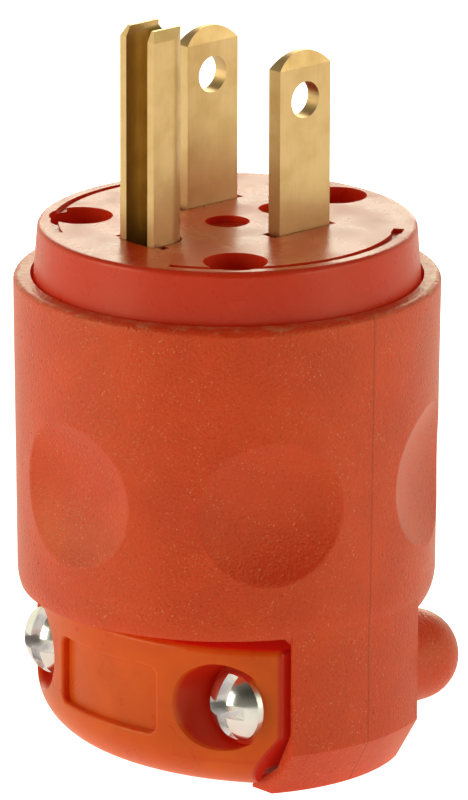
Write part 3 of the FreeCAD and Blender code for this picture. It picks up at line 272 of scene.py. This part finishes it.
def carrierFinish():
    look = carrierLook
    p = Paint("moulded carrier").measure().glow(look)
    grain = p.noise(*look["grain"])
    wave = p.noise(*look["wave"])
    smudge = p.noise(*look["smudge"])
    worn = p.step(smudge, *look["wornTurn"]) * look["wornShare"]
    return p.surface({
        "Base Color": p.blend(worn, look["colour"], look["worn"]),
        "Roughness": look["roughness"] + p.step(smudge, *look["dullTurn"]) * look["dullRoughness"],
        "Specular IOR Level": look["shine"],
        "Specular Tint": look["tint"],
        "Emission Color": p.blend(p.step(p.z, *look["creviceTurn"]), look["crevice"], (0, 0, 0)),
        "Emission Strength": 1.0,
        "Normal": p.bump(grain * look["grainHeight"] + wave * look["waveHeight"]),
    })


clampLook = {
    "colour": (0.870, 0.132, 0.010),
    "deep": (0.800, 0.106, 0.008),
    "shine": 0.40,
    "tint": (1.0, 0.95, 0.55, 1),
    "roughness": 0.27,
    "inside": 0.6,
    "spread": redSpread,
    "reach": 1.4,
    "grain": (0.3, 2),
    "grainHeight": 0.003,
    "wave": (2.2, 1, 5),
    "waveHeight": 0.014,
    "smudge": (4.0, 2, 17),
    "smudgeTurn": (0.35, 0.7),
    "dullTurn": (0.3, 0.8),
    "dullRoughness": 0.10,
    "wellShade": (0.740, 0.018, 0.004),   # painted shade in the screw wells, deeper and redder, standing in for light bounced inside them
    "arcCentre": 8.1,         # of the curved front, behind the axis
    "wellTurn": (548, 570),   # squared distance from there, inside the wells and in front of them
    "wellSide": (7.8, 8.4),   # how far to the side the wells begin
    "wellLow": (3.2, 3.6),    # and how high
    "gap": (0.450, 0.012, 0.005),      # painted shade at its ends, where they sink into the gap beside the housing
    "endTurn": (16.70, 17.05),         # where its rounded ends turn into the gap
    "cornerTurn": (12.85, 13.10),      # the same at its slanted lower corners
    "cornerSlope": 0.644,
    "crownTurn": (14.45, 14.60),       # its top, under the body
    "crevice": (0.13, 0.003, 0.0015),  # stands for light scattered into the gap round it
}


def clampFinish():
    look = clampLook
    p = Paint("smooth clamp").measure().glow(look)
    grain = p.noise(*look["grain"])
    wave = p.noise(*look["wave"])
    smudge = p.noise(*look["smudge"])
    plain = p.blend(p.step(smudge, *look["smudgeTurn"]), look["deep"], look["colour"])
    side = abs(p.x)
    back = p.y - look["arcCentre"]
    # painted shade: the screw wells take a deeper red that stands in for light bounced inside them
    behind = 1 - p.step(p.x * p.x + back * back, *look["wellTurn"])
    shadedWell = behind * p.step(side, *look["wellSide"]) * p.step(p.z, *look["wellLow"])
    # painted shade: the clamp's ends and slanted lower corners darken where they turn into the gap
    corner = p.step(side - p.z * look["cornerSlope"], *look["cornerTurn"])
    shadedEnds = p.step(side, *look["endTurn"]) + corner
    hidden = shadedEnds + p.step(p.z, *look["crownTurn"])
    return p.surface({
        "Base Color": p.blend(shadedEnds, p.blend(shadedWell, plain, look["wellShade"]), look["gap"]),
        "Emission Color": p.blend(hidden, (0, 0, 0), look["crevice"]),
        "Emission Strength": 1.0,
        "Specular Tint": look["tint"],
        "Roughness": look["roughness"] + p.step(smudge, *look["dullTurn"]) * look["dullRoughness"],
        "Specular IOR Level": look["shine"],
        "Normal": p.bump(grain * look["grainHeight"] + wave * look["waveHeight"]),
    })


blockLook = {
    "colour": (0.58, 0.58, 0.55),
    "deep": (0.5336, 0.5336, 0.506),
    "cloud": (5.0, 2, 3),
    "cloudTurn": (0.3, 0.7),
    "grain": (0.2, 3),
    "grainHeight": 0.006,
    "roughness": 0.5,
    "roughnessSwing": 0.2,
}


def blockFinish():
    look = blockLook
    p = Paint("moulded block").measure()
    grain = p.noise(*look["grain"])
    cloud = p.step(p.noise(*look["cloud"]), *look["cloudTurn"])
    return p.surface({
        "Base Color": p.blend(cloud, look["deep"], look["colour"]),
        "Roughness": look["roughness"] + p.swing(grain, look["roughnessSwing"]),
        "Normal": p.bump(grain * look["grainHeight"]),
    })


def metal(colour, dull, roughness, drawn=False, channel=None):
    return {"colour": colour, "dull": dull, "roughness": roughness, "drawn": drawn,
            "channel": channel}


metalLooks = {
    "blade_brass": metal((0.75, 0.53, 0.27), (0.61, 0.39, 0.16), 0.38, drawn=True),
    # the pin's channel takes a darker brass: painted shade inside it
    "pin_brass": metal((0.75, 0.53, 0.27), (0.59, 0.38, 0.16), 0.36, drawn=True,
                       channel=(0.46, 0.32, 0.10)),
    "insert_brass": metal((0.70, 0.50, 0.22), (0.55, 0.36, 0.14), 0.35),
    "terminal_brass": metal((0.70, 0.50, 0.22), (0.56, 0.38, 0.15), 0.30),
    "terminal_steel": metal((0.62, 0.62, 0.60), (0.48, 0.48, 0.46), 0.30),
    "terminal_green": metal((0.06, 0.26, 0.09), (0.03, 0.17, 0.05), 0.35),
    "screw_steel": metal((0.95, 0.96, 1.00), (0.64, 0.64, 0.68), 0.21),
}
metalGrain = {
    "line": (0.16, 3, 0),
    "drawnStretch": (1, 1, 0.03),  # drawn metal has its lines along the blades
    "lineHeight": 0.004,
    "lineShare": 0.35,
    "lineRoughness": 0.15,
    "cloud": (2.5, 3, 9),
    "cloudTurn": (0.3, 0.75),
    "cloudShare": 0.6,
    "cloudRoughness": 0.25,
    "channelTurn": (1.35, 1.5),   # how far to the side the painted shade in the pin's channel reaches
}


def metalFinish(name):
    look, pattern = metalLooks[name], metalGrain
    p = Paint(name.replace("_", " ")).measure()
    stretch = pattern["drawnStretch"] if look["drawn"] else (1, 1, 1)
    line = p.noise(*pattern["line"], stretch=stretch)
    cloud = p.noise(*pattern["cloud"])
    dulled = p.step(cloud, *pattern["cloudTurn"]) * pattern["cloudShare"]
    dulled = dulled + p.swing(line, pattern["lineShare"])
    colour = p.blend(dulled, look["colour"], look["dull"])
    # painted shade: darker brass inside the pin's channel
    if look["channel"]:
        outside = p.step(abs(p.x), *pattern["channelTurn"])
        colour = p.blend(outside, look["channel"], colour)
    rougher = look["roughness"] + p.swing(cloud, pattern["cloudRoughness"])
    return p.surface({
        "Base Color": colour,
        "Metallic": 1.0,
        "Roughness": rougher + p.swing(line, pattern["lineRoughness"]),
        "Normal": p.bump(line * pattern["lineHeight"]),
    })


finishes = {
    "housing": housingFinish(),
    "carrier": carrierFinish(),
    "clamp": clampFinish(),
    "block": blockFinish(),
    **{name: metalFinish(name) for name in metalLooks},
}
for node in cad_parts.values():
    for slot in node.material_slots:
        slot.material = finishes[slot.material.name]
print("finishes set on", len(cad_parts), "pieces")


# Studio: a white floor, a surround that is white behind the plug and dim on the camera's side,
# and soft lamps

studio = {
    "floorHalf": 4.0,
    "floorDrop": 0.02 * mm,
    "floorColour": (0.90, 0.90, 0.90, 1),
    "floorRoughness": 0.8,
    "floorGlow": 0.36,        # what the floor gives off everywhere
    "floorLift": 1.00,        # more of it where the camera looks
    "mirrorLift": 0.25,       # and where a shiny piece mirrors the floor
    "soft": 0.85,             # share of the surround that lights dull surfaces
    "roof": 0.80,             # share that its top lacks
    "roofTurn": (0.2, 0.7),   # sine of the elevation where that begins and is full
    "plain": (1, 1, 1),       # floor and surround where the camera looks
    "warm": (1.0, 0.955, 0.77),        # tint of the light that falls on the plug
    "mirrorWarm": (1.0, 0.95, 0.68),   # the same where a shiny piece mirrors the surround
    "white": 1.0,             # surround behind the plug, and wherever the camera looks
    "dim": 0.16,              # surround on the camera's side
    "turn": (-0.1, 0.8),      # where it turns from white to dim
}
lamps = {                     # azimuth, elevation, distance, size in metres, watts
    "keyLamp": (-22, 12, 1.3, 0.7, 5.0),
    "fillLamp": (112, 10, 1.3, 0.7, 3.1),
    "rearLamp": (227, 18, 2.0, 1.2, 12.2),
}
mirroredLamps = ["rearLamp"]  # these show only where a surface mirrors them


def ray(paint, kind):         # 1 on camera, glossy or diffuse rays, whichever is asked for
    return paint.add("ShaderNodeLightPath", {}, {}, out=f"Is {kind} Ray")


def buildFloor():
    half, drop = studio["floorHalf"], -studio["floorDrop"]
    corners = [(-half, -half, drop), (half, -half, drop), (half, half, drop), (-half, half, drop)]
    mesh = bpy.data.meshes.new("floor")
    mesh.from_pydata(corners, [], [(0, 1, 2, 3)])
    floor = bpy.data.objects.new("floor", mesh)
    bpy.context.scene.collection.objects.link(floor)
    p = Paint("pale floor")
    mesh.materials.append(p.material)
    camera, mirror = ray(p, "Camera"), ray(p, "Glossy")
    lift = camera * studio["floorLift"] + mirror * studio["mirrorLift"]
    p.surface({
        "Base Color": studio["floorColour"],
        "Roughness": studio["floorRoughness"],
        "Emission Color": p.blend(camera, studio["warm"], studio["plain"]),
        "Emission Strength": lift + studio["floorGlow"],
    })


def buildSurround():
    world = bpy.data.worlds.new("surround")
    bpy.context.scene.world = world
    world.use_nodes = True
    w = Paint("surround", world.node_tree)
    camera, mirror, dull = (ray(w, kind) for kind in ("Camera", "Glossy", "Diffuse"))
    direction = w.add("ShaderNodeTexCoord", {}, {}, out="Generated")
    level = {0: direction, 1: towards(photoView["azimuth"], 0)}
    facing = w.add("ShaderNodeVectorMath", {"operation": "DOT_PRODUCT"}, level, out="Value")
    white = studio["white"]
    room = white - w.step(facing, *studio["turn"]) * (white - studio["dim"])
    room = room * (1 - w.step(w.part(direction, "Z"), *studio["roofTurn"]) * studio["roof"])
    room = room * (1 - dull * (1 - studio["soft"]))
    strength = room + camera * (white - room)
    tint = w.blend(mirror, studio["warm"], studio["mirrorWarm"])
    shade = w.blend(camera, tint, studio["plain"])
    glow = w.add("ShaderNodeBackground", {}, {"Color": shade, "Strength": strength})
    w.add("ShaderNodeOutputWorld", {}, {"Surface": glow})


def buildLamps():
    aim = Vector((0, 0, photoView["aimHeight"]))
    for name, (azimuth, elevation, distance, width, watts) in lamps.items():
        data = bpy.data.lights.new(name, "AREA")
        data.size, data.energy, data.color = width, watts, studio["warm"]
        lamp = bpy.data.objects.new(name, data)
        bpy.context.scene.collection.objects.link(lamp)
        direction = towards(azimuth, elevation)
        lamp.location = aim + direction * distance
        lamp.rotation_euler = direction.to_track_quat("Z", "Y").to_euler()
        lamp.visible_camera = False
        lamp.visible_diffuse = name not in mirroredLamps


buildFloor()
buildSurround()
buildLamps()
bpy.context.scene.view_settings.view_transform = "Standard"
print("studio ready")
